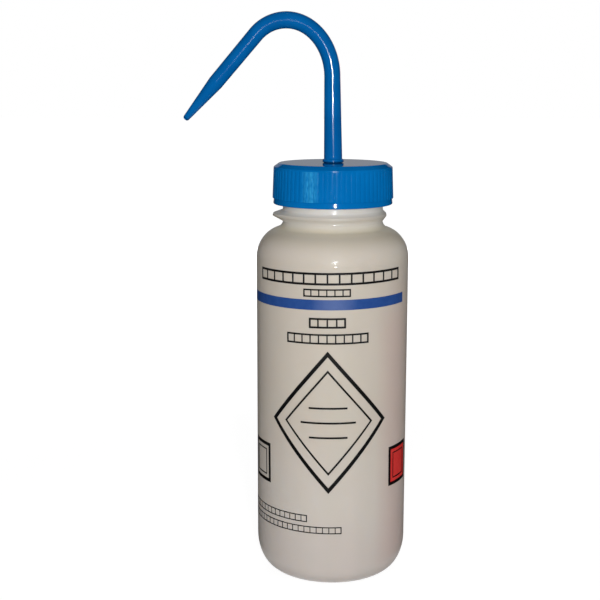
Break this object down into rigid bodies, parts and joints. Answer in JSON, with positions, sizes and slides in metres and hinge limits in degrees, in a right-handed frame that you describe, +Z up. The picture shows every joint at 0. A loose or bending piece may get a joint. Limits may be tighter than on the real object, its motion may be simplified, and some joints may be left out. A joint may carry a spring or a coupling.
{
  "type": "reagent bottle",
  "caption": "Squeeze bottle for laboratory reagents: translucent bottle, ribbed screw cap, bent tapering delivery tube that swivels, and a dip tube inside.",
  "frame": {"origin": "the bottle's axis, in the plane that it stands on", "axes": "+Z up the bottle's axis, -X the way that the delivery tube bends over"},
  "size_m": [0.1062, 0.072, 0.2669],
  "materials": {
    "bottle": "milky translucent low-density polyethylene, soft satin",
    "cap": "blue moulded polypropylene, semi-gloss",
    "liner": "white polyethylene foam",
    "tube": "blue low-density polyethylene, glossy",
    "dip_tube": "natural polyethylene, semi-gloss"
  },
  "bodies": {
    "bottle": {"bottle": "bottle"},
    "liner": {"cap_liner": "liner"},
    "cap": {"screw_cap": "cap"},
    "spout": {"delivery_tube": "tube", "dip_tube": "dip_tube"}
  },
  "joints": [
    {"name": "cap_lift", "type": "slide", "parent": "bottle", "child": "liner", "axis": [0, 0, 1], "range_m": [0, 0.00636]},
    {"name": "cap_turn", "type": "hinge", "parent": "liner", "child": "cap", "pos_m": [0, 0, 0.188], "axis": [0, 0, 1], "range_deg": [0, 540]},
    {"name": "spout_swivel", "type": "hinge", "parent": "liner", "child": "spout", "pos_m": [0, 0, 0.198], "axis": [0, 0, 1], "continuous": true}
  ],
  "couplings": [
    {"joint": "cap_lift", "follows": "cap_turn", "m_per_rad": 0.0006737}
  ]
}
